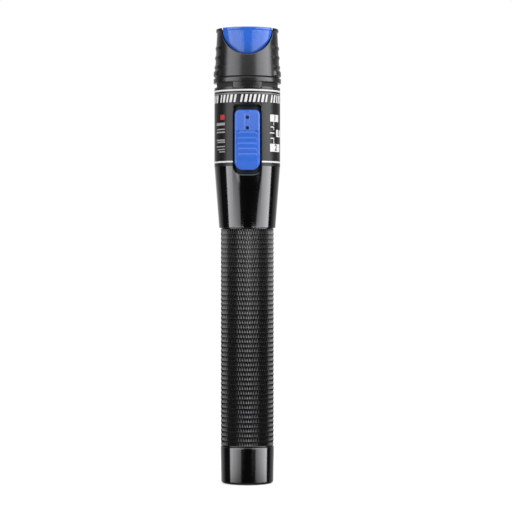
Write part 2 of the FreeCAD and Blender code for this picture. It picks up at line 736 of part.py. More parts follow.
def dust_cap():
    """Plug in the shroud with a round tongue in each notch and a socket on the port."""
    plug_r = SHROUD_BORE_R - RUN_FIT
    low = Z_TOP - PLUG_LENGTH
    tongue_low = Z_TOP + NOTCH_RISE - NOTCH_R
    collar = lip_profile(plug_r / 2, tongue_low, TONGUE_LOW_R)
    tongues = collar.common(notch_bar(NOTCH_R - CAP_GAP))
    plug = turned([(0, low), (plug_r, low), (plug_r, Z_TOP - EDGE), (plug_r - EDGE, Z_TOP), (0, Z_TOP)])
    body = plug.fuse(tongues)
    hollow = tube(PORT_R + LOOSE_FIT + PLUG_WALL, plug_r - PLUG_WALL, low - 1, Z_TOP - PLUG_ROOF)
    socket = disc(PORT_R + LOOSE_FIT, low - 1, Z_TOP - PLUG_ROOF)
    return body.cut(hollow).cut(socket).removeSplitter()


def build():
    return {
        "tail_cap": tail_cap(),
        "tail_contact": tail_contact(),
        "tail_spring": tail_spring(),
        "tail_seal": sealing_ring(TAIL_SPIGOT_R, tail_seal_height()),
        "grip_barrel": grip_barrel(),
        "head_seal": sealing_ring(TUBE_SPIGOT_R, head_seal_height()),
        "battery_rear": cell(Z_CELLS),
        "battery_front": cell(Z_CELLS + CELL_LENGTH),
        "front_contact": front_contact(),
        "head_tube": head_tube(),
        "label_band": label_band(),
        "slot_plate": slot_plate(),
        "inner_carrier": inner_carrier(),
        "circuit_board": circuit_board(),
        "driver_chip": driver_chip(),
        "capacitor": capacitor(),
        "slide_switch": slide_switch(),
        "switch_lever": lever(),
        "switch_button": switch_button(),
        "laser_housing": laser_housing(),
        "laser_diode": laser_diode(),
        "focus_lens": focus_lens(),
        "lens_ring": lens_ring(),
        "ferrule_barrel": ferrule_barrel(),
        "ceramic_sleeve": ceramic_sleeve(),
        "neck_ring": neck_ring(),
        "head_shroud": head_shroud(),
        "dust_cap": dust_cap(),
    }


def main():
    os.makedirs("parts", exist_ok=True)
    for name, shape in build().items():
        shape.exportStep("parts/" + name + ".step")


main()
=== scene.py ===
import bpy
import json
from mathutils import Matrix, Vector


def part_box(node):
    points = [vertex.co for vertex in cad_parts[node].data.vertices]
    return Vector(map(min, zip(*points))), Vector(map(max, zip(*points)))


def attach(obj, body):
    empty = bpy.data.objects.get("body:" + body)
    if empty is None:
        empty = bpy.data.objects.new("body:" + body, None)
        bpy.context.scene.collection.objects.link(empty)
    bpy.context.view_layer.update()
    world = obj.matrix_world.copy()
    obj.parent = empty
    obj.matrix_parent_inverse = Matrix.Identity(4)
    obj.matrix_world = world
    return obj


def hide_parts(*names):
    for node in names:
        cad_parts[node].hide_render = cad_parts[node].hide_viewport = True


bl_info = {
    "name": "Visual Fault Locator",
    "version": (1, 0, 0),
    "blender": (4, 5, 0),
    "location": "View3D > Sidebar > Locator",
    "description": "Finished look of a pen-type visual fault locator on its packed model",
    "category": "Add Mesh",
}

import json
from math import atan2, cos, degrees, hypot, pi, radians, sin, sqrt

import bpy
from mathutils import Vector

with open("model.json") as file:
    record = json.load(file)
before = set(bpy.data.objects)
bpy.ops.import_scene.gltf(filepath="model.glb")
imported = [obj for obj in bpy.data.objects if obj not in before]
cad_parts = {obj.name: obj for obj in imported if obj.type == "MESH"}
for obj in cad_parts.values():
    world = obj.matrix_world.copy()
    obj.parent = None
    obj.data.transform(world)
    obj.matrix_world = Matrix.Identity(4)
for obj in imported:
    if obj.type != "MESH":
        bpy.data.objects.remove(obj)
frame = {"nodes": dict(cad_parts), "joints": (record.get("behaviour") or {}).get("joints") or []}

# The pen stands on its tail cap, its long axis is Z and its switch faces -Y.
# Sizes in the code are millimetres, and MM brings them to the scene's metres.
MM = 0.001
TURN = 2 * pi
WELD = 0.002 * MM
TUBE_STEPS, HEAD_STEPS, SHROUD_STEPS = 144, 180, 192      # faces round a turned piece


def low(node):
    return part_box(node)[0].z / MM


def high(node):
    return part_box(node)[1].z / MM


def radius(node):
    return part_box(node)[1].x / MM


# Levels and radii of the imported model
Z_CAP = high("tail_cap")
Z_TUBE = low("head_tube")
Z_HEAD = low("label_band")
Z_FILM = high("label_band")
Z_RIM = high("head_tube")
Z_SHROUD = low("head_shroud")
Z_TOP = high("head_shroud")
Z_PLUG = low("dust_cap")
Z_BUTTON = low("switch_button")
Z_BUTTON_TOP = high("switch_button")
CAP_R = radius("tail_cap")
GRIP_R = radius("grip_barrel")
HEAD_R = radius("head_tube")
RING_R = radius("neck_ring") - 0.01      # a hair less, so that its faces stay in the box
BUTTON_HALF = radius("switch_button")
TRAVEL = next(joint["range_m"][1] for joint in frame["joints"]
              if joint["name"] == "switch_slide") / MM

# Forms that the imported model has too. Its notch is shallower than this one.
TAPER_R = 10.87           # foot of the head tube's taper
FILM_DEPTH = 0.1          # groove for the label film
SHROUD_BASE_R, SHROUD_TOP_R, SHROUD_BORE_R = 12.6, 11.65, 9.75
SHROUD_SPAN = 17.7        # height of the shroud's straight taper
LIP_R, LIP_HEIGHT = 12.05, 1.1
TONGUE_LOW_R = 9.75
NOTCH_R, Z_NOTCH = 9.7, Z_TOP - 0.75
CAP_GAP = 0.3             # between notch and tongue
PORT_HOLE_R, PORT_SOCKET_R = 6.3, 4.3
SIDE_PLAY, END_PLAY = 0.52, 0.2           # button in its slot, across and beyond its travel
SLOT_HALF = BUTTON_HALF + SIDE_PLAY
Z_SLOT = Z_BUTTON - TRAVEL - END_PLAY
Z_SLOT_TOP = Z_BUTTON_TOP + TRAVEL + END_PLAY
NECK_R = 11.8             # floor of the grooves over and under the neck ring
Z_STEP, Z_GROOVE = Z_RIM - 1.0, Z_RIM + 0.7
Z_RING_TOP = Z_GROOVE + 1.8
KEY_HALF, KEY_DEPTH = 5.5, 1.8            # the ring's key, half across and under the rim
SLOT_ROUNDS, KEY_ROUNDS = (3.2, 1.2), (0.8, 0.8)        # their lower and upper corners

# The stage, in metres: radius and heights of the screens
RING, NEAR_RING = 0.6, 0.6 * 0.98
FOOT, KNEE, LOFT, BROW, CROWN = -0.22, -0.085, 0.20, 0.34, 0.75
LOW_FOOT, LOW_TOP = -0.035, 0.006
# Name, two angles in degrees from -Y towards +X, foot and top, and the level at each angle
LIGHTS = (
    ("strip_left", -26.5, -79, KNEE, LOFT, 0.50, 2.0),
    ("strip_right", 35.5, 93, KNEE, LOFT, 0.60, 2.6),
    ("loft_left", -25, -79, LOFT, CROWN, 1.2, 2.1),
    ("loft_right", 31, 93, LOFT, CROWN, 1.6, 3.2),
    ("brow_light", -25, 31, BROW, CROWN, 1.15, 1.15),
)
FLAGS = (                 # seen in reflections only, they light nothing
    ("flag_front", -26.5, 35.5, FOOT, LOFT, 0.012, 0.012),
    ("flag_brow", -25, 31, LOFT, BROW, 0.012, 0.012),
    ("foot_left", -79, -26.5, FOOT, KNEE, 0.012, 0.012),
    ("foot_right", 35.5, 93, FOOT, KNEE, 0.012, 0.012),
    ("low_left", -53, -15, LOW_FOOT, LOW_TOP, 2.8, 2.8, NEAR_RING),
    ("low_right", 19, 56, LOW_FOOT, LOW_TOP, 2.8, 3.4, NEAR_RING),
    ("flag_left", -112, -79, FOOT, CROWN, 0.02, 0.02),
    ("flag_right", 93, 112, FOOT, CROWN, 0.02, 0.02),
    ("side_left", -112, -146, FOOT, CROWN, 0.06, 0.46),
    ("side_right", 112, 146, FOOT, CROWN, 0.06, 0.38),
    ("back_left", -146, -180, FOOT, CROWN, 0.46, 1.0),
    ("back_right", 146, 180, FOOT, CROWN, 0.38, 1.0),
)


def length(name, about, default, least, most):
    """A length, given in millimetres."""
    return bpy.props.FloatProperty(
        name=name, description=about, default=default * MM, min=least * MM, max=most * MM,
        unit="LENGTH", precision=5)


def number(name, about, default, least, most):
    return bpy.props.IntProperty(
        name=name, description=about, default=default, min=least, max=most)


def hue(name, about, default):
    return bpy.props.FloatVectorProperty(
        name=name, description=about, default=default, subtype="COLOR", min=0, max=1)


class LocatorForm(bpy.types.PropertyGroup):
    """Sizes of the finish that a user may change."""

    edge: length("Edge round", "Small rounds on turned edges", 0.22, 0.05, 0.5)
    rim_round: length("Slot rim", "Round along the rims of slot and notches", 0.32, 0.1, 0.6)
    knurl_count: number("Knurls round", "Diamonds in one row round the grip", 62, 24, 90)
    knurl_rows: number("Knurl rows", "Rows of diamonds along the grip", 23, 8, 60)
    knurl_rise: length("Knurl height", "Height of a diamond over its valleys", 0.36, 0.1, 0.4)
    grip_rib: length("Side rib height", "Ribs on both sides of the shroud", 0.32, 0.0, 0.35)
    pad_rib: length("Pad rib height", "Ribs across the thumb pad", 0.22, 0.0, 0.3)


class LocatorColours(bpy.types.PropertyGroup):
    """Colours of the visible finishes."""

    body: hue("Black metal", "Reflection of the black anodised metal", (0.20, 0.20, 0.205))
    plastic: hue("Black plastic", "Reflection of shroud and neck ring", (0.12, 0.12, 0.123))
    film: hue("Label film", "Reflection of the label film's ground", (0.062, 0.062, 0.064))
    ink: hue("Label print", "Colour of the printed marks", (0.86, 0.86, 0.86))
    accent: hue("Print accent", "Colour of the one coloured mark", (0.55, 0.03, 0.03))
    blue: hue("Blue plastic", "Colour of switch button and dust cap", (0.030, 0.150, 0.70))


def size(name):
    """One of the sizes above, in millimetres."""
    return getattr(bpy.context.scene.locator_form, name) / MM


def paint(name):
    """One of the colours above."""
    return getattr(bpy.context.scene.locator_colours, name)


# ---------------- shaders

class Wave:
    """A number in a shader, written with plain arithmetic."""

    def __init__(self, shop, socket):
        self.shop = shop
        self.socket = socket

    def math(self, operation, first, second):
        node = self.shop.node("ShaderNodeMath", {"operation": operation}, {0: first, 1: second})
        return Wave(self.shop, node.outputs[0])

    def __add__(self, other):
        return self.math("ADD", self, other)

    __radd__ = __add__

    def __sub__(self, other):
        return self.math("SUBTRACT", self, other)

    def __rsub__(self, other):
        return self.math("SUBTRACT", other, self)

    def __mul__(self, other):
        return self.math("MULTIPLY", self, other)

    __rmul__ = __mul__

    def __abs__(self):
        return self.math("ABSOLUTE", self, 0.0)


class Shop:
    """A node tree, and the one way in which nodes are added to it."""

    def __init__(self, tree):
        self.tree = tree

    def node(self, kind, settings=None, inputs=None):
        """A node of any type: settings first, then values or links of its sockets."""
        node = self.tree.nodes.new(kind)
        for name, value in (settings or {}).items():
            setattr(node, name, value)
        for name, value in (inputs or {}).items():
            self.plug(node.inputs[name], value)
        return node

    def plug(self, socket, value):
        if isinstance(value, Wave):
            value = value.socket
        if isinstance(value, bpy.types.NodeSocket):
            self.tree.links.new(value, socket)
        else:
            socket.default_value = value


class Finish(Shop):
    """One material and the nodes that make it."""

    def __init__(self, name):
        self.material = bpy.data.materials.new(name)
        self.material.use_nodes = True
        super().__init__(self.material.node_tree)
        self.shader = self.tree.nodes["Principled BSDF"]
        self.place = self.node("ShaderNodeTexCoord").outputs["Object"]

    def set(self, **values):
        """Constants and links of the shader, by socket name with _ for a space."""
        for name, value in values.items():
            self.plug(self.shader.inputs[name.replace("_", " ")], value)
        return self

    def noise(self, per_mm, stretch=(1, 1, 1), detail=3.0):
        """Noise between 0 and 1, with so many spots per millimetre."""
        scaled = self.node("ShaderNodeVectorMath", {"operation": "MULTIPLY"}, {
            0: self.place, 1: stretch}).outputs[0]
        texture = self.node("ShaderNodeTexNoise", {}, {
            "Vector": scaled, "Scale": per_mm / MM, "Detail": detail, "Roughness": 0.55})
        return Wave(self, texture.outputs[0])

    def mottled(self, factor, tone, least, most):
        """Colour between two strengths of one tone."""
        return self.node("ShaderNodeMix", {"data_type": "RGBA"}, {
            0: factor, 6: (*shade(tone, least), 1), 7: (*shade(tone, most), 1)}).outputs[2]

    def grain(self, height, depth_mm):
        """Fine relief from a height between 0 and 1, so many millimetres deep."""
        bump = self.node("ShaderNodeBump", {}, {
            "Height": height, "Distance": depth_mm * MM, "Strength": 1.0})
        return self.set(Normal=bump.outputs[0])

    def glow(self, level):
        """Plain white light in place of the surface."""
        light = self.node("ShaderNodeEmission", {}, {"Color": (1, 1, 1, 1), "Strength": level})
        self.plug(self.tree.nodes["Material Output"].inputs[0], light.outputs[0])
        return self


def shade(values, scale):
    return tuple(scale * value for value in values)


def turned_metal(name, tone, roughness):
    """Polished black metal: faint lines round the axis and a little cloudiness."""
    finish = Finish(name)
    cloud = finish.noise(0.12)
    lines = finish.noise(9.0, stretch=(0.02, 0.02, 1.0), detail=2.0)
    finish.set(Metallic=1.0, Base_Color=finish.mottled(cloud, tone, 0.93, 1.07),
               Roughness=roughness + 0.05 * cloud + 0.03 * lines)
    finish.grain(lines, 0.0006)
    return finish.material


def knurl_metal(name, tone):
    """Black anodised metal at half to six tenths of the smooth metal's tone: painted shade that
    darkens the whole knurl.
    """
    finish = Finish(name)
    cloud = finish.noise(0.08)
    speck = finish.noise(5.0)
    # Painted shade: the same black metal as the smooth parts, darkened to half and a little more,
    # with random cloudiness
    finish.set(Metallic=1.0, Base_Color=finish.mottled(cloud, tone, 0.50, 0.62),
               Roughness=0.18 + 0.08 * speck)
    finish.grain(speck, 0.004)
    return finish.material


def moulded(name, tone, roughness, grain_mm=0.006, specular=0.5, metallic=0.0):
    """Moulded plastic: fine spark-eroded grain and slow changes of tone."""
    finish = Finish(name)
    cloud = finish.noise(0.1)
    grain = finish.noise(4.0)
    finish.set(Base_Color=finish.mottled(cloud, tone, 0.92, 1.08),
               Roughness=roughness - 0.03 + 0.08 * grain, Metallic=metallic,
               Specular_IOR_Level=specular)
    finish.grain(grain, grain_mm)
    return finish.material


def printed(name, tone):
    """Screen-printed ink: matt, a little uneven."""
    finish = Finish(name)
    speck = finish.noise(6.0)
    finish.set(Base_Color=finish.mottled(speck, tone, 0.93, 1),
               Roughness=0.45 + 0.1 * speck)
    return finish.material


# ---------------- modelling

def deselect():
    if bpy.context.object and bpy.context.object.mode != "OBJECT":
        bpy.ops.object.mode_set(mode="OBJECT")
    bpy.ops.object.select_all(action="DESELECT")


def activate(piece):
    deselect()
    piece.select_set(True)
    bpy.context.view_layer.objects.active = piece


def settled(name):
    """Names the object just made, with its place and turn applied to its mesh."""
    bpy.ops.object.transform_apply(location=True, rotation=True, scale=True)
    bpy.context.object.name = name
    return bpy.context.object


def edit(piece):
    activate(piece)
    bpy.ops.object.mode_set(mode="EDIT")
    choose_all()


def leave():
    bpy.ops.object.mode_set(mode="OBJECT")


def choose_all():
    bpy.ops.mesh.select_all(action="SELECT")


def face_outwards():
    choose_all()
    bpy.ops.mesh.normals_make_consistent(inside=False)


def weld(threshold=WELD):
    """Merges doubles and turns the faces outwards, in edit mode."""
    choose_all()
    bpy.ops.mesh.remove_doubles(threshold=threshold)
    face_outwards()


def eased(points, steps=4):
    """Outline whose corners are rounded: a point is (radius, height) or (radius, height, round)."""
    outline = []
    count = len(points)
    for index, point in enumerate(points):
        corner = Vector(point[:2])
        if len(point) == 2:
            outline.append(tuple(corner))
            continue
        before = corner + (Vector(points[index - 1][:2]) - corner).normalized() * point[2]
        after = corner + (Vector(points[(index + 1) % count][:2]) - corner).normalized() * point[2]
        for step in range(steps + 1):
            share = step / steps
            place = before.lerp(corner, share).lerp(corner.lerp(after, share), share)
            outline.append(tuple(place))
    return outline


def supported(route, long_mm=1.0, inset=0.15):
    """Adds a point near both ends of each long edge, so that its shading stays true."""
    points = [route[0]]
    for start, end in zip(route, route[1:]):
        edge = Vector(end) - Vector(start)
        if edge.length > long_mm:
            step = edge.normalized() * inset
            points += [tuple(Vector(start) + step), tuple(Vector(end) - step)]
        points.append(end)
    return points


def begin(name, place):
    """A piece of one vertex, in edit mode, from which its edges are drawn."""
    deselect()
    bpy.ops.mesh.primitive_plane_add(size=MM, location=(0, 0, 0))
    piece = bpy.context.object
    piece.name = name
    edit(piece)
    bpy.ops.mesh.merge(type="CENTER")
    bpy.ops.transform.translate(value=place)
    return piece


def draw(step):
    bpy.ops.mesh.extrude_vertices_move(TRANSFORM_OT_translate={"value": step})


def spin(steps, angle):
    """Turns the whole drawing about Z. An angle above 0 runs from +X towards -Y here."""
    choose_all()
    bpy.ops.mesh.spin(steps=steps, angle=angle, center=(0, 0, 0), axis=(0, 0, 1))


def lathe(name, outline, steps=TUBE_STEPS):
    """Solid of revolution from its outline, drawn edge by edge and spun about Z."""
    piece = begin(name, (outline[0][0] * MM, 0, outline[0][1] * MM))
    open_ended = outline[0][0] == 0 and outline[-1][0] == 0
    route = supported(outline if open_ended else outline + outline[:1])
    for (start_r, start_z), (end_r, end_z) in zip(route, route[1:]):
        draw(((end_r - start_r) * MM, 0, (end_z - start_z) * MM))
    choose_all()
    bpy.ops.mesh.remove_doubles(threshold=WELD)
    spin(steps, TURN)
    weld()
    leave()
    return piece


def rounded_rectangle(half, low_z, high_z, low_round, high_round, grow):
    """Points (x, z) of a rounded rectangle, with points along its straight sides too."""
    arc_steps, side_steps = 6, 12
    corners = (
        (half - high_round, high_z - high_round, high_round, 0),
        (high_round - half, high_z - high_round, high_round, 90),
        (low_round - half, low_z + low_round, low_round, 180),
        (half - low_round, low_z + low_round, low_round, 270),
    )
    arcs = []
    for centre_x, centre_z, corner, start in corners:
        reach = corner + grow
        turns = [radians(start + 90 / arc_steps * step) for step in range(arc_steps + 1)]
        arcs.append([(centre_x + reach * cos(turn), centre_z + reach * sin(turn))
                     for turn in turns])
    points = []
    for arc, after in zip(arcs, arcs[1:] + arcs[:1]):
        points += arc
        (end_x, end_z), (next_x, next_z) = arc[-1], after[0]
        for step in range(1, side_steps):
            share = step / side_steps
            points.append((end_x + (next_x - end_x) * share, end_z + (next_z - end_z) * share))
    return points


def ring_of(centre_z, reach, count=72):
    return [(reach * cos(TURN * step / count), centre_z + reach * sin(TURN * step / count))
            for step in range(count)]


RIM_STEPS = ((0.0, -1.0), (0.12, -0.5), (0.5, -0.12), (1.3, 0.15))   # grow and height, in rounds


def bar(name, outline_at, surface, rounding, both_sides):
    """Bar along Y whose outline widens (or narrows, rounding below 0) where it meets a surface.

    outline_at(grow) gives (x, z) points and surface(z) the radius there."""
    amount = abs(rounding)
    grow_sign = 1 if rounding > 0 else -1
    front = []
    for grow, height in reversed(RIM_STEPS):
        points = outline_at(grow_sign * grow * amount)
        front.append([(x, -sqrt(max((surface(z) + height * amount) ** 2 - x * x, 0.01)), z)
                      for x, z in points])
    front.insert(0, [(x, -2 * HEAD_R, z) for x, y, z in front[0]])
    if both_sides:
        back = [[(x, -y, z) for x, y, z in ring] for ring in reversed(front)]
    else:
        back = [[(x, -HEAD_R / 2, z) for x, y, z in front[-1]]]
    rings = front + back
    count = len(rings[0])
    places = [Vector(place) * MM for ring in rings for place in ring]
    faces = [list(range(count)), list(range(len(places) - count, len(places)))]
    for first in range(0, len(places) - count, count):
        for step in range(count):
            here, after = first + step, first + (step + 1) % count
            faces.append((here, here + count, after + count, after))
    mesh = bpy.data.meshes.new(name)
    mesh.from_pydata(places, [], faces)
    piece = bpy.data.objects.new(name, mesh)
    bpy.context.collection.objects.link(piece)
    edit(piece)
    face_outwards()
    leave()
    return piece


def combine(piece, tool, operation):
    """Cuts, joins or intersects with a tool, which is used up."""
    modifier = piece.modifiers.new("combine", "BOOLEAN")
    modifier.operation = operation
    modifier.solver = "EXACT"
    modifier.object = tool
    activate(piece)
    bpy.ops.object.modifier_apply(modifier=modifier.name)
    bpy.data.objects.remove(tool)


def coat(piece, material):
    """Gives a piece one material and no other."""
    piece.data.materials.clear()
    piece.data.materials.append(material)


def dress(piece, material, body, slot, *nodes, angle=32):
    """Gives a finished piece its shading, its material, its body and the nodes it stands for."""
    if angle:
        activate(piece)
        bpy.ops.object.shade_smooth_by_angle(angle=radians(angle))
    coat(piece, material)
    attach(piece, body)
    if nodes:
        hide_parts(*nodes)


def tint(piece, material, chosen):
    """Gives a further material to each face whose centre, in millimetres, is chosen."""
    piece.data.materials.append(material)
    slot = len(piece.data.materials) - 1
    for face in piece.data.polygons:
        if chosen(face.center / MM):
            face.material_index = slot


def shade_neck(piece):
    """Paints shade on the floor of the grooves round the neck: a darker, duller material where the
    grooves lie in shade.
    """
    # Painted shade: near-black matte on the groove floors, which are the same metal and plastic as
    # their surroundings
    tint(piece, moulded("neck_shade", (0.035, 0.035, 0.036), 0.55, 0.003, 0.4),
         lambda place: place.z > Z_STEP and abs(hypot(place.x, place.y) - NECK_R) < 0.04)


def cone(height, low_z, low_r, high_z, high_r):
    """Radius at a height of a cone that goes on straight at both ends."""
    return low_r + (high_r - low_r) * limited((height - low_z) / (high_z - low_z))


def taper_radius(height):
    return cone(height, Z_TUBE, TAPER_R, Z_HEAD, HEAD_R)


def shroud_radius(height):
    """Radius of the shroud's side, without its ribs."""
    share = (height - Z_SHROUD) / SHROUD_SPAN
    return SHROUD_BASE_R + (SHROUD_TOP_R - SHROUD_BASE_R) * share


def slot_bar(rounding):
    """Bar in the shape of the switch slot."""
    return bar("slot_bar", lambda grow: rounded_rectangle(
        SLOT_HALF, Z_SLOT, Z_SLOT_TOP, *SLOT_ROUNDS, grow), taper_radius, rounding, False)


def key_bar(name, half, depth, rounding):
    """Bar in the shape of the ring's key, from so far under the tube's rim upwards."""
    return bar(name, lambda grow: rounded_rectangle(
        half, Z_RIM - depth, Z_RIM + 4, *KEY_ROUNDS, grow), lambda z: HEAD_R, rounding, False)


def limited(value):
    """A share, kept between 0 and 1."""
    return min(max(value, 0), 1)


def ease(value, start, end):
    """Rises smoothly from 0 at start to 1 at end."""
    share = limited((value - start) / (end - start))
    return share * share * (3 - 2 * share)


def between(value, start, full, fading, end):
    """Rises from 0 at start to 1 at full, and falls again from fading to end."""
    return ease(value, start, full) * (1 - ease(value, fading, end))


# ---------------- pieces

class LOCATOR_OT_tail_cap(bpy.types.Operator):
    """Screw cap with a round tail edge and a socket for the barrel"""
    bl_idname = "locator.tail_cap"
    bl_label = "Tail cap"

    def execute(self, context):
        chamfer = ((9.55, 0, 0.3), (10.1, 0.45, 0.4))
        socket_r, socket = 9.05, Z_CAP - 6.5
        well_r, floor = 6.3, 2.6
        piece = lathe("tail_cap_shell", eased([
            (0, 0), *chamfer, (CAP_R, Z_CAP, size("edge")), (socket_r, Z_CAP, 0.1),
            (socket_r, socket), (well_r, socket, 0.2), (well_r, floor, 0.3), (0, floor),
        ], steps=6))
        dress(piece, turned_metal("polished_cap", paint("body"), 0.07), "tail_cap",
              "black_metal", "tail_cap")
        return {"FINISHED"}


class LOCATOR_OT_grip(bpy.types.Operator):
    """Battery barrel with its two screw spigots, and the knurled sleeve on it"""
    bl_idname = "locator.grip"
    bl_label = "Knurled grip"

    def execute(self, context):
        bore, tail_r, head_r = 7.4, 9.0, 9.3
        collar, ramp = 0.5, 0.1               # plain ends, and the step down to the core
        crest = GRIP_R - 0.12
        core_r = crest - size("knurl_rise")
        tail, head = low("grip_barrel"), high("grip_barrel")
        shoulder = Z_CAP + 0.1
        core = lathe("grip_core", eased([
            (bore, tail, 0.2), (tail_r, tail, 0.3), (tail_r, shoulder),
            (crest, shoulder, size("edge")), (crest, shoulder + collar, 0.1),
            (core_r, shoulder + collar + ramp), (core_r, Z_TUBE - collar),
            (crest, Z_TUBE - collar + ramp, 0.1), (crest, Z_TUBE),
            (head_r, Z_TUBE), (head_r, head, 0.3), (bore, head, 0.2),
        ]))
        metal = knurl_metal("anodised_grip", paint("body"))
        dress(core, metal, "pen", "black_metal", "grip_barrel")
        sleeve = self.sleeve(core_r, shoulder + collar + ramp / 2, Z_TUBE - collar + ramp / 2)
        dress(sleeve, metal, "pen", "black_metal", angle=None)
        return {"FINISHED"}

    def sleeve(self, core_r, low_z, high_z):
        """Two diamonds as one tile, repeated round and along, then cut to length and closed."""
        form = bpy.context.scene.locator_form
        rise = form.knurl_rise
        valley_r = GRIP_R * MM - rise
        step = TURN / form.knurl_count
        half_wide = valley_r * sin(step / 2)
        half_tall = (high_z - low_z) * MM / form.knurl_rows / 2
        centre = (0, -valley_r, low_z * MM)
        deselect()
        bpy.ops.mesh.primitive_circle_add(
            vertices=4, radius=1, fill_type="NGON", rotation=(pi / 2, 0, 0), location=centre)
        tile = settled("grip_knurl")
        faces_in = tile.data.polygons[0].normal.y > 0
        edit(tile)
        if faces_in:
            bpy.ops.mesh.flip_normals()
        bpy.ops.transform.resize(value=(half_wide, 1, half_tall), center_override=centre)
        slope = 0.92                          # share of the way to a diamond's middle
        inset = slope * half_wide * half_tall / hypot(half_wide, half_tall)
        bpy.ops.mesh.inset(thickness=inset, depth=rise)
        leave()
        for vertex in tile.data.vertices:     # side corners, back on the barrel's round
            if abs(abs(vertex.co.x) - half_wide) < WELD:
                vertex.co.y = -valley_r * cos(step / 2)
        edit(tile)
        bpy.ops.mesh.duplicate()
        bpy.ops.transform.rotate(value=step / 2, orient_axis="Z", center_override=(0, 0, 0))
        bpy.ops.transform.translate(value=(0, 0, half_tall))
        leave()
        self.repeat(tile, form.knurl_count, step, form.knurl_rows + 1, 2 * half_tall)
        edit(tile)
        weld(0.01 * MM)
        for height, keep in ((low_z, "clear_inner"), (high_z, "clear_outer")):
            choose_all()
            bpy.ops.mesh.bisect(plane_co=(0, 0, height * MM), plane_no=(0, 0, 1), **{keep: True})
        choose_all()
        bpy.ops.mesh.region_to_loop()
        inner = (core_r - 0.3) / GRIP_R
        bpy.ops.mesh.extrude_edges_move()
        bpy.ops.transform.resize(value=(inner, inner, 1), center_override=(0, 0, 0))
        bpy.ops.mesh.bridge_edge_loops()
        face_outwards()
        leave()
        return tile

    def repeat(self, tile, count, step, rows, pitch):
        """Repeats the tile round the grip and then along it."""
        pivot = bpy.data.objects.new("knurl_pivot", None)
        bpy.context.collection.objects.link(pivot)
        pivot.rotation_euler = (0, 0, step)
        around = tile.modifiers.new("around", "ARRAY")
        around.count = count
        around.use_object_offset = True
        around.offset_object = pivot
        along = tile.modifiers.new("along", "ARRAY")
        along.count = rows
        along.use_constant_offset = True
        along.constant_offset_displace = (0, 0, pitch)
        around.use_relative_offset = along.use_relative_offset = False
        activate(tile)
        bpy.context.view_layer.update()
        for name in ("around", "along"):
            bpy.ops.object.modifier_apply(modifier=name)
        bpy.data.objects.remove(pivot)


class LOCATOR_OT_head_tube(bpy.types.Operator):
    """Head tube: taper, straight head, switch slot and the notch for the ring's key"""
    bl_idname = "locator.head_tube"
    bl_label = "Head tube"

    def execute(self, context):
        rim = size("rim_round")
        film_r, bore_r, spigot_r = HEAD_R - FILM_DEPTH, HEAD_R - 1.5, 9.35
        seat_r, seat, bore_end = 10.6, Z_TUBE + 10.7, Z_HEAD - 5.2
        piece = lathe("head_tube_shell", eased([
            (spigot_r, Z_TUBE, 0.15), (TAPER_R, Z_TUBE, size("edge")), (HEAD_R, Z_HEAD, 0.05),
            (film_r, Z_HEAD), (film_r, Z_FILM), (HEAD_R, Z_FILM, 0.05),
            (HEAD_R, Z_STEP, size("edge")), (NECK_R, Z_STEP), (NECK_R, Z_RIM, 0.1),
            (bore_r, Z_RIM, 0.2), (bore_r, bore_end), (seat_r, seat), (spigot_r, seat),
        ]), HEAD_STEPS)
        combine(piece, slot_bar(rim), "DIFFERENCE")
        notch = key_bar("key_notch", KEY_HALF + 0.1, KEY_DEPTH + 0.1, 0.5 * rim)
        combine(piece, notch, "DIFFERENCE")
        dress(piece, turned_metal("gloss_taper", paint("body"), 0.06), "pen", "black_metal",
              "head_tube")
        tint(piece, moulded("satin_rim", shade(paint("film"), 1.5), 0.32, 0.003, 0.8, 0.9),
             lambda place: place.z > Z_FILM - 0.5)
        shade_neck(piece)
        return {"FINISHED"}


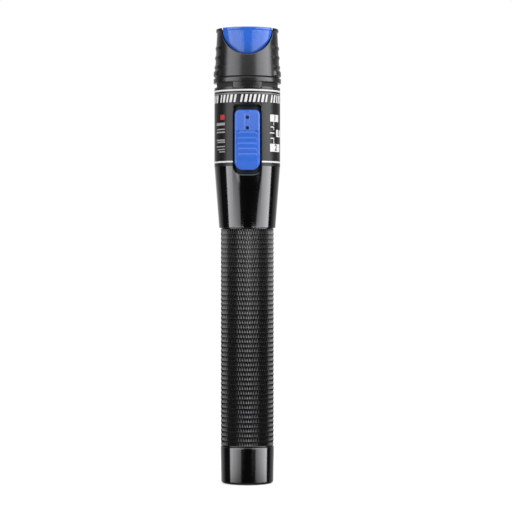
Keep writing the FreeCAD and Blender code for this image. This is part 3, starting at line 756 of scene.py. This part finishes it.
class LOCATOR_OT_label(bpy.types.Operator):
    """Matt label film with its lines, marks and switch positions"""
    bl_idname = "locator.label"
    bl_label = "Label film"

    # Places on the film are arc lengths from the slot's middle and heights
    top_line, low_line, thin_line = (150.5, 151.1), (123.25, 123.85), (149.5, 149.75)
    bar_z, bar_tall, bar_pitch, bar_lean = 147.7, 2.95, 1.66, 0.2
    bar_widths, bar_groups = (0.75, 1.0), (5, 4, 6, 5, 7)
    bar_first, bar_last, bar_gap = 0.6, 1.4, 0.6      # clear ends, and gap in pitches
    # Number, place, height, width and tall of each box
    boxes = (("1", 12.4, 140.3, 5.6, 2.7), ("0", 15.6, 134.6, 4.4, 2.7),
             ("2", 13.2, 129.0, 7.2, 3.0))
    # Share of its box that a digit fills, a capital's share of its font, and added weight
    digit_share, capital, bold, proud = 0.78, 0.7, 0.09, 0.02
    posts_x, posts, post = 11.7, (138.2, 136.3, 132.2, 131.2), (0.35, 1.2)
    arms_x, arms, arm = 10.8, ((136.9, 1.9), (134.6, 2.6), (132.6, 1.9)), 0.4
    # Height, width and tall of each fainter line, and their common edge
    notes = ((138.0, 5.6, 1.0), (136.0, 5.2, 0.45), (134.9, 5.6, 0.5), (131.9, 5.4, 0.5),
             (131.1, 4.8, 0.5), (129.4, 5.6, 0.4), (128.3, 4.6, 0.4), (127.4, 3.4, 0.4))
    notes_x = -9.4
    accent = (-10.8, 140.6, 2.4, 1.9)

    def execute(self, context):
        rim, film_r = size("rim_round"), HEAD_R - FILM_DEPTH
        film = lathe("label_film", [
            (film_r, Z_HEAD + 0.02), (HEAD_R, Z_HEAD + 0.02), (HEAD_R, Z_FILM - 0.02),
            (film_r, Z_FILM - 0.02)], HEAD_STEPS)
        combine(film, slot_bar(rim), "DIFFERENCE")
        dress(film, moulded("satin_film", paint("film"), 0.32, 0.003, 0.8, 0.9), "pen",
              "label_film", "label_band")
        ink = printed("white_print", paint("ink"))
        for name, span in (("print_top_line", self.top_line), ("print_low_line", self.low_line)):
            line = self.line(name, span, 0.012)
            combine(line, slot_bar(rim), "DIFFERENCE")
            dress(line, ink, "pen", "label_film")
        faint = self.line("print_thin_line", self.thin_line, 0.01)
        grey = printed("grey_print", shade(paint("ink"), 0.42))
        dress(faint, grey, "pen", "label_film")
        self.wrap("print_marks", self.bars() + self.positions(), ink)
        notes = [self.patch(self.notes_x - width / 2, z, width, tall)
                 for z, width, tall in self.notes]
        self.wrap("print_notes", notes, grey)
        digits = [self.digit(text, x, z, self.digit_share * tall)
                  for text, x, z, width, tall in self.boxes]
        self.wrap("print_numbers", digits, printed("dark_print", paint("film")))
        self.wrap("print_accent", [self.patch(*self.accent)],
                  printed("red_print", paint("accent")))
        return {"FINISHED"}

    def line(self, name, span, proud):
        """Printed line round the film."""
        (low_z, high_z), inner, outer = span, HEAD_R - 0.05, HEAD_R + proud
        return lathe(name, [(inner, low_z), (outer, low_z), (outer, high_z), (inner, high_z)],
                     HEAD_STEPS)

    def bars(self):
        """Slanted bars in groups, all round the film."""
        flats = []
        around = TURN * HEAD_R
        last = around / 2 - self.bar_last
        place = -around / 2 + self.bar_first
        group = 0
        while place < last:
            for step in range(self.bar_groups[group % len(self.bar_groups)]):
                if place < last:
                    flats.append(self.patch(place, self.bar_z, self.bar_widths[step % 2],
                                            self.bar_tall, self.bar_lean))
                place += self.bar_pitch
            place += self.bar_gap * self.bar_pitch
            group += 1
        return flats

    def positions(self):
        """Boxes of the switch positions, and the thin lines between them."""
        flats = [self.patch(x, z, width, tall) for text, x, z, width, tall in self.boxes]
        flats += [self.patch(self.posts_x, z, *self.post) for z in self.posts]
        flats += [self.patch(self.arms_x, z, width, self.arm) for z, width in self.arms]
        return flats

    def patch(self, x, z, width, tall, lean=0.0):
        """Flat rectangle of print, centred on its place."""
        deselect()
        bpy.ops.mesh.primitive_plane_add(
            size=1, rotation=(pi / 2, 0, 0), location=(x * MM, 0, z * MM))
        bpy.context.object.scale = (width * MM, tall * MM, 1)
        piece = settled("patch")
        for vertex in piece.data.vertices:
            vertex.co.x += lean * (vertex.co.z - z * MM)
        return piece

    def digit(self, text, x, z, tall):
        """Flat number, a little over the boxes."""
        deselect()
        bpy.ops.object.text_add(rotation=(pi / 2, 0, 0))
        curve = bpy.context.object.data
        curve.body = text
        curve.size = tall * MM / self.capital
        curve.align_x = "CENTER"
        curve.align_y = "CENTER"
        curve.resolution_u = 4
        curve.offset = self.bold * MM
        activate(bpy.context.object)
        bpy.ops.object.convert(target="MESH")
        bpy.context.object.location = (x * MM, -self.proud * MM, z * MM)
        return settled("digit")

    def wrap(self, name, flats, ink, strip=0.5 * MM, thickness=0.04 * MM):
        """Joins flat print, cuts it in narrow strips, lays it round the film and makes it solid."""
        activate(flats[0])
        for piece in flats:
            piece.select_set(True)
        if len(flats) > 1:
            bpy.ops.object.join()
        piece = bpy.context.object
        piece.name = name
        edit(piece)
        count = int(max(abs(vertex.co.x) for vertex in piece.data.vertices) / strip) + 1
        for index in range(-count, count + 1):
            choose_all()
            bpy.ops.mesh.bisect(plane_co=(index * strip, 0, 0), plane_no=(1, 0, 0))
        weld()
        leave()
        solid = piece.modifiers.new("solid", "SOLIDIFY")
        solid.thickness = thickness
        solid.offset = 0
        activate(piece)
        bpy.ops.object.modifier_apply(modifier=solid.name)
        for vertex in piece.data.vertices:
            angle = vertex.co.x / (HEAD_R * MM)
            reach = HEAD_R * MM - vertex.co.y
            vertex.co.x = reach * sin(angle)
            vertex.co.y = -reach * cos(angle)
        edit(piece)
        weld(0.0005 * MM)
        leave()
        dress(piece, ink, "pen", "label_film", angle=None)


class LOCATOR_OT_neck_ring(bpy.types.Operator):
    """Neck ring with its key in the tube's rim"""
    bl_idname = "locator.neck_ring"
    bl_label = "Neck ring"

    def execute(self, context):
        bore, spigot_r, inner = 6.05, HEAD_R - 1.55, SHROUD_BORE_R - 0.05
        foot, top = low("neck_ring"), high("neck_ring")
        piece = lathe("neck_ring_body", eased([
            (bore, foot), (spigot_r, foot, 0.2), (spigot_r, Z_RIM), (NECK_R, Z_RIM),
            (NECK_R, Z_GROOVE), (RING_R, Z_GROOVE, 0.3), (RING_R, Z_RING_TOP, 0.2),
            (NECK_R, Z_RING_TOP + 0.1), (NECK_R, Z_SHROUD), (inner, Z_SHROUD),
            (inner, top, 0.2), (bore, top),
        ]), HEAD_STEPS)
        key_r, key_foot, key_top = HEAD_R - 2, Z_RIM - 2.5, Z_GROOVE + 0.3
        key = lathe("ring_key", eased([
            (key_r, key_foot), (HEAD_R, key_foot), (HEAD_R, key_top), (key_r, key_top)]),
            HEAD_STEPS)
        combine(key, key_bar("key_bar", KEY_HALF, KEY_DEPTH, -0.6 * size("rim_round")),
                "INTERSECT")
        combine(piece, key, "UNION")
        dress(piece, moulded("ring_plastic", paint("plastic"), 0.26, 0.002, 0.6, 0.95), "pen",
              "black_plastic", "neck_ring")
        shade_neck(piece)
        return {"FINISHED"}


class LOCATOR_OT_shroud(bpy.types.Operator):
    """Hood round the port: ribbed sides, a small lip and a half-round notch front and back"""
    bl_idname = "locator.shroud"
    bl_label = "Shroud"

    def execute(self, context):
        lip, rows = Z_TOP - LIP_HEIGHT, 96    # rows of faces, which carry the ribs
        floor, port = Z_SHROUD + 2.8, Z_SHROUD + 5.1
        start, end = Z_SHROUD + 0.2, lip - 0.4
        outline = [(PORT_HOLE_R, floor), (SHROUD_BORE_R, floor), (SHROUD_BORE_R, Z_SHROUD),
                   (SHROUD_BASE_R - 0.2, Z_SHROUD)]
        for row in range(rows + 1):
            height = start + (end - start) * row / rows
            outline.append((shroud_radius(height), height))
        outline += eased([
            (SHROUD_TOP_R, lip - 0.3), (LIP_R, lip, 0.15), (LIP_R, Z_TOP, 0.3),
            (SHROUD_BORE_R, Z_TOP, 0.3), (SHROUD_BORE_R, port), (PORT_HOLE_R, port)])[1:]
        piece = lathe("shroud_body", outline, SHROUD_STEPS)
        self.ribs(piece, size("grip_rib"))
        notch = bar("notch_bar", lambda grow: ring_of(Z_NOTCH, NOTCH_R + grow),
                    shroud_radius, size("rim_round"), True)
        combine(piece, notch, "DIFFERENCE")
        dress(piece, moulded("shroud_plastic", paint("plastic"), 0.27, 0.004, 0.8, 0.95),
              "pen", "black_plastic", "head_shroud")
        return {"FINISHED"}

    def ribs(self, piece, rise):
        """Rounded ribs and a flange below them, on the left and right sides only."""
        first, pitch, count, half = 4.1, 3.65, 3, 1.15
        foot, head = 0.3, SHROUD_SPAN - 0.8   # plain ends of the side
        flange_rise, flange_end, ramp, fade = 0.5, 3.1, 0.35, 0.9
        side_angle, side_fade = 38, 14        # degrees from the side at which the ribs end
        for vertex in piece.data.vertices:
            x, y, z = vertex.co / MM
            reach = hypot(x, y)
            height = z - Z_SHROUD
            if abs(reach - shroud_radius(z)) > 0.05 or not foot < height < head:
                continue
            side = ease(side_angle - degrees(abs(atan2(y, abs(x)))), 0, side_fade)
            swell = 0.0
            if height < flange_end:
                swell = flange_rise * min(1, (height - foot) / ramp, (flange_end - height) / fade)
            for index in range(count):
                away = abs(height - first - index * pitch)
                if away < half:
                    swell = max(swell, rise * (0.5 + 0.5 * cos(pi * away / half)))
            grown = (reach + side * swell) / reach
            vertex.co.x *= grown
            vertex.co.y *= grown


class LOCATOR_OT_dust_cap(bpy.types.Operator):
    """Plug with a round tongue for each notch and a socket for the port"""
    bl_idname = "locator.dust_cap"
    bl_label = "Dust cap"

    plug_r = SHROUD_BORE_R - 0.05
    tongue_r = NOTCH_R - CAP_GAP
    tongue_low = Z_NOTCH - tongue_r - 0.6
    lip = Z_TOP - LIP_HEIGHT
    rows = 28                       # rows of faces along the tongue, which keep its shading true
    wall, roof = 1.4, 2.0           # walls round plug and socket, and the lid over them

    def execute(self, context):
        piece = self.tongues(size("rim_round"))
        combine(piece, self.plug(), "UNION")
        piece.name = "dust_cap_body"
        dress(piece, moulded("blue_gloss", paint("blue"), 0.17, 0.0015, 1.0), "dust_cap",
              "blue_plastic", "dust_cap")
        return {"FINISHED"}

    def surface(self, height):
        """Radius of the tongues' outer side."""
        return cone(height, self.tongue_low, TONGUE_LOW_R, self.lip, SHROUD_TOP_R)

    def tongues(self, rim):
        """Ring over the plug's upper end, cut to a round tongue front and back."""
        inner, outer, foot, lip = self.plug_r - 0.7, LIP_R - 0.1, self.tongue_low, self.lip
        heights = [foot + (lip - 0.3 - foot) * row / self.rows for row in range(self.rows + 1)]
        side = [(self.surface(height), height) for height in heights]
        edge = eased([(self.surface(lip), lip - 0.1), (outer, lip + 0.1, 0.15),
                      (outer, Z_TOP, 0.3), (inner, Z_TOP)])
        piece = lathe("cap_tongues", [(inner, foot)] + side + edge, SHROUD_STEPS)
        shape = bar("tongue_bar", lambda grow: ring_of(Z_NOTCH, self.tongue_r + grow),
                    self.surface, -0.7 * rim, True)
        combine(piece, shape, "INTERSECT")
        return piece

    def plug(self):
        """Plug for the shroud's bore and socket for the port, under one lid."""
        roof, top = Z_TOP - self.roof, Z_TOP - 0.05
        socket_r, inner = PORT_SOCKET_R + self.wall, self.plug_r - self.wall
        return lathe("cap_plug", eased([
            (PORT_SOCKET_R, roof), (PORT_SOCKET_R, Z_PLUG, 0.1), (socket_r, Z_PLUG, 0.1),
            (socket_r, roof, 0.2), (inner, roof, 0.2), (inner, Z_PLUG, 0.1),
            (self.plug_r, Z_PLUG, 0.2), (self.plug_r, top, 0.25), (0, top), (0, roof)]))


class LOCATOR_OT_button(bpy.types.Operator):
    """Slide button: ramped panel with two dots, ribbed thumb pad and sloping heel"""
    bl_idname = "locator.button"
    bl_label = "Switch button"

    columns, rows = 84, 200
    under = 11.35                             # radius of the slot plate's top
    low_round, top_round, edge_round = 3.2, 2.0, 0.85
    heel, heel_drop = 5.2, 0.5
    step_down = 8.1                           # panel's length, down to the pad
    panel_low, panel_rise, shoulder = -0.35, 1.2, 0.65      # from the head's radius
    pad, crown = 1.32, 0.12                   # pad over the head, and its round across
    pad_inset, pad_rise = 0.75, 0.3           # pad's side wall
    pad_corner, pad_corner_tall = 1.1, 1.3    # the pad is narrower where it begins
    strip, strip_depth = (0.85, 1.0), 0.14    # sunk strip down the panel's middle
    ledge, ledge_depth = (1.5, 1.6, 1.7, 1.8), 0.07         # fine line on both sides of it
    groove = (0.6, 0.8, 7.3, 7.5)             # where both begin and end, from the top
    dots, dot_depth, dot_edge, dot_r = (3.1, 7.15), 0.5, (0.5, 0.7), 0.62
    rib_first, rib_pitch, rib_count = 0.5, 2.05, 5
    rib_ends, rib_share, rib_less = (1.2, 1.6), 1.1, 0.15   # the upper ribs are lower

    def execute(self, context):
        rib = size("pad_rib")
        deselect()
        bpy.ops.mesh.primitive_grid_add(
            x_subdivisions=self.columns, y_subdivisions=self.rows, size=2 * MM,
            rotation=(pi / 2, 0, 0))
        piece = settled("button_body")
        for vertex in piece.data.vertices:
            across, along = vertex.co.x / MM, (vertex.co.z / MM + 1) / 2
            across = sin(across * pi / 2) * 0.5 + across * 0.5
            height = Z_BUTTON + (Z_BUTTON_TOP - Z_BUTTON) * along
            x = across * self.half_width(height)
            vertex.co = Vector((x, -self.front(x, height, rib), height)) * MM
        self.close(piece)
        dress(piece, moulded("blue_satin", paint("blue"), 0.22, 0.002, 1.0), "switch",
              "blue_plastic", "switch_button", angle=40)
        # Painted shade: near-black blue in the two sunk dots of the blue moulding, where shade
        # falls
        tint(piece, moulded("dot_shade", (0.004, 0.008, 0.05), 0.6), self.in_dot)
        return {"FINISHED"}

    def in_dot(self, place):
        from_top = Z_BUTTON_TOP - place.z
        return place.y < -HEAD_R * 0.9 and any(
            hypot(place.x, from_top - dot) < self.dot_r for dot in self.dots)

    def ends(self, height):
        """Distance from both ends, each with the size of its rounded corners."""
        return (height - Z_BUTTON, self.low_round), (Z_BUTTON_TOP - height, self.top_round)

    def half_width(self, height):
        """Half the button's width, less at its rounded ends."""
        half = BUTTON_HALF
        for end, corner in self.ends(height):
            if end < corner:
                half -= corner - sqrt(max(corner ** 2 - (corner - end) ** 2, 0))
        return half

    def edge_distance(self, x, height):
        """Distance from the rounded outline, in millimetres."""
        nearest = BUTTON_HALF - abs(x)
        for end, corner in self.ends(height):
            nearest = min(nearest, end)
            aside = abs(x) - (BUTTON_HALF - corner)
            if end < corner and aside > 0:
                nearest = min(nearest, corner - hypot(aside, corner - end))
        return max(nearest, 0)

    def front(self, x, height, rib):
        """Distance of the button's face from the pen's axis."""
        from_low, from_top = height - Z_BUTTON, Z_BUTTON_TOP - height
        from_side = BUTTON_HALF - abs(x)
        base = HEAD_R + self.shoulder
        if from_top < self.step_down:
            base = HEAD_R + self.panel_low + self.panel_rise * from_top / self.step_down
        base -= (1 - ease(from_low, 0.0, self.heel)) * self.heel_drop
        strip = 1 - ease(abs(x), *self.strip)
        sunk = self.strip_depth * strip + self.ledge_depth * between(abs(x), *self.ledge)
        base -= between(from_top, *self.groove) * sunk
        for dot in self.dots:
            base -= self.dot_depth * (1 - ease(hypot(x, from_top - dot), *self.dot_edge))
        under_top = from_top - self.step_down
        inset = self.pad_inset + self.pad_corner * (1 - ease(under_top, 0, self.pad_corner_tall))
        pad = ease(from_side, inset, inset + self.pad_rise)
        pad *= ease(from_top, self.step_down - 0.15, self.step_down + 0.5)
        pad *= ease(from_low, 0.3, self.heel)
        face = base + (HEAD_R + self.pad - base) * pad
        face -= self.crown * (x / BUTTON_HALF) ** 2
        away = (from_low - self.heel - self.rib_first) / self.rib_pitch
        if -0.5 < away < self.rib_count - 0.4:
            wave = 0.5 + 0.5 * cos(TURN * away)
            fall = self.rib_share - self.rib_less * away
            face += pad * ease(from_side, *self.rib_ends) * rib * fall * wave ** 2
        near = self.edge_distance(x, height)
        if near < self.edge_round:
            drop = self.edge_round - sqrt(self.edge_round ** 2 - (self.edge_round - near) ** 2)
            face -= 0.9 * drop
        return face

    def close(self, piece):
        """Draws the outline back to the slot plate and closes it there."""
        edit(piece)
        bpy.ops.mesh.region_to_loop()
        bpy.ops.mesh.extrude_edges_move()
        leave()
        for vertex in piece.data.vertices:
            if vertex.select:
                vertex.co.y = -sqrt((self.under * MM) ** 2 - vertex.co.x ** 2)
        bpy.ops.object.mode_set(mode="EDIT")
        bpy.ops.mesh.edge_face_add()
        face_outwards()
        leave()


class LOCATOR_OT_insides(bpy.types.Operator):
    """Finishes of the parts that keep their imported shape"""
    bl_idname = "locator.insides"
    bl_label = "Inner parts"

    # Kind of finish, its name, tone and further settings, and the nodes that have it
    finishes = (
        (turned_metal, "spring_steel", (0.55, 0.55, 0.56), (0.25,),
         "tail_contact tail_spring front_contact"),
        (turned_metal, "port_steel", (0.62, 0.62, 0.63), (0.18,), "ferrule_barrel"),
        (turned_metal, "brass", (0.65, 0.45, 0.16), (0.22,), "laser_housing lens_ring"),
        (turned_metal, "can_metal", (0.6, 0.6, 0.6), (0.3,), "capacitor laser_diode"),
        (moulded, "seal_rubber", (0.012, 0.012, 0.012), (0.7,), "tail_seal head_seal"),
        (moulded, "dark_plastic", (0.010, 0.010, 0.011), (0.45, 0.004, 0.4),
         "slot_plate inner_carrier switch_lever"),
        (moulded, "cell_sleeve", (0.55, 0.56, 0.57), (0.35,), "battery_rear battery_front"),
        (moulded, "board_green", (0.02, 0.12, 0.05), (0.4,), "circuit_board"),
        (moulded, "chip_black", (0.02, 0.02, 0.02), (0.5,), "slide_switch driver_chip"),
        (moulded, "ceramic_white", (0.8, 0.79, 0.76), (0.25,), "ceramic_sleeve"),
        (moulded, "lens_glass", (0.7, 0.72, 0.75), (0.05,), "focus_lens"),
    )

    def execute(self, context):
        for kind, name, tone, settings, nodes in self.finishes:
            material = kind(name, tone, *settings)
            for node in nodes.split():
                coat(frame["nodes"][node], material)
        return {"FINISHED"}


class LOCATOR_OT_stage(bpy.types.Operator):
    """Pale floor, soft strip lights, dark flags and the camera"""
    bl_idname = "locator.stage"
    bl_label = "Stage"

    sky_level = 0.38                # of the world's white, for what it lights
    cellar_level = 0.12
    floor_m, floor_level = 0.3, 0.6
    lens_mm, sensor_mm = 140.95, 36
    shift = (0.017, -0.015)
    distance_m, height_m = 0.775, 0.0905

    def execute(self, context):
        self.floor()
        for row in LIGHTS:
            self.screen(*row)
        for row in FLAGS:
            self.screen(*row).visible_diffuse = False
        self.cellar()
        self.world(context.scene)
        self.camera(context.scene)
        return {"FINISHED"}

    def screen(self, name, start, end, low_z, high_z, start_level, end_level, reach=RING):
        """Curved screen round the pen, its level changing from one angle to the other."""
        first = radians(start)
        piece = begin(name, (reach * sin(first), -reach * cos(first), low_z))
        draw((0, 0, high_z - low_z))
        spin(24, radians(start - end))
        leave()
        finish = Finish(name + "_cloth")
        parts = finish.node("ShaderNodeSeparateXYZ", {}, {0: finish.place})
        across, forward = Wave(finish, parts.outputs[0]), Wave(finish, parts.outputs[1])
        turned = across.math("ARCTAN2", across, forward * -1.0)
        if abs(end) == 180:
            turned = abs(turned) * (1 if end > 0 else -1)
        travelled = (turned - first) * (1 / radians(end - start))
        return self.hide(piece, finish.glow(start_level + travelled * (end_level - start_level)))

    def hide(self, piece, finish):
        piece.data.materials.append(finish.material)
        piece.visible_camera = False
        piece.visible_shadow = False
        return piece

    def disc(self, name, vertices, reach, z):
        deselect()
        bpy.ops.mesh.primitive_circle_add(
            vertices=vertices, radius=reach, fill_type="NGON", location=(0, 0, z))
        return settled(name)

    def cellar(self):
        """Dark disc under the floor, for what faces down."""
        piece = self.disc("cellar", 48, RING, FOOT)
        self.hide(piece, Finish("cellar_cloth").glow(self.cellar_level)).visible_diffuse = False

    def floor(self):
        """White paper under the pen, which keeps its shadow."""
        piece = self.disc("floor", 96, self.floor_m, -0.0002)
        edit(piece)
        bpy.ops.mesh.inset(thickness=self.floor_m / 2)
        leave()
        finish = Finish("floor_paper")
        finish.set(Base_Color=(0.9, 0.9, 0.9, 1), Roughness=0.9, Specular_IOR_Level=0.0,
                   Emission_Color=(1, 1, 1, 1), Emission_Strength=self.floor_level)
        piece.data.materials.append(finish.material)
        piece.visible_glossy = False

    def world(self, scene):
        """White for the camera and in reflections, dimmer for what it lights."""
        world = scene.world = scene.world or bpy.data.worlds.new("studio")
        world.use_nodes = True
        sky = Shop(world.node_tree)
        path = sky.node("ShaderNodeLightPath").outputs
        seen = Wave(sky, path["Is Camera Ray"])
        for ray in ("Is Glossy Ray", "Is Transmission Ray"):
            seen = seen.math("MAXIMUM", seen, path[ray])
        back = sky.tree.nodes["Background"].inputs
        sky.plug(back["Color"], (1, 1, 1, 1))
        sky.plug(back["Strength"], self.sky_level + (1 - self.sky_level) * seen)

    def camera(self, scene):
        data = bpy.data.cameras.new("camera")
        data.lens = self.lens_mm
        data.sensor_width = self.sensor_mm
        data.shift_x, data.shift_y = self.shift
        camera = bpy.data.objects.new("camera", data)
        scene.collection.objects.link(camera)
        camera.location = (0, -self.distance_m, self.height_m)
        camera.rotation_euler = (pi / 2, 0, 0)
        scene.camera = camera
        scene.view_settings.view_transform = "Standard"


class LOCATOR_PT_panel(bpy.types.Panel):
    """Sidebar panel with the sizes, the colours and one button for each piece"""
    bl_idname = "LOCATOR_PT_panel"
    bl_label = "Visual Fault Locator"
    bl_space_type = "VIEW_3D"
    bl_region_type = "UI"
    bl_category = "Locator"

    def draw(self, context):
        layout = self.layout
        for group in (context.scene.locator_form, context.scene.locator_colours):
            column = layout.column(align=True)
            for name in group.__annotations__:
                column.prop(group, name)
        for piece in PIECES:
            layout.operator(piece.bl_idname)


PIECES = (
    LOCATOR_OT_stage,
    LOCATOR_OT_insides,
    LOCATOR_OT_tail_cap,
    LOCATOR_OT_grip,
    LOCATOR_OT_head_tube,
    LOCATOR_OT_label,
    LOCATOR_OT_neck_ring,
    LOCATOR_OT_shroud,
    LOCATOR_OT_dust_cap,
    LOCATOR_OT_button,
)
CLASSES = (LocatorForm, LocatorColours) + PIECES + (LOCATOR_PT_panel,)


def register():
    for each in CLASSES:
        bpy.utils.register_class(each)
    bpy.types.Scene.locator_form = bpy.props.PointerProperty(type=LocatorForm)
    bpy.types.Scene.locator_colours = bpy.props.PointerProperty(type=LocatorColours)


def unregister():
    del bpy.types.Scene.locator_colours
    del bpy.types.Scene.locator_form
    for each in reversed(CLASSES):
        bpy.utils.unregister_class(each)


def main():
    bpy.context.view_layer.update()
    register()
    for piece in PIECES:
        group, name = piece.bl_idname.split(".")
        getattr(getattr(bpy.ops, group), name)()
    deselect()


if __name__ == "__main__":
    main()
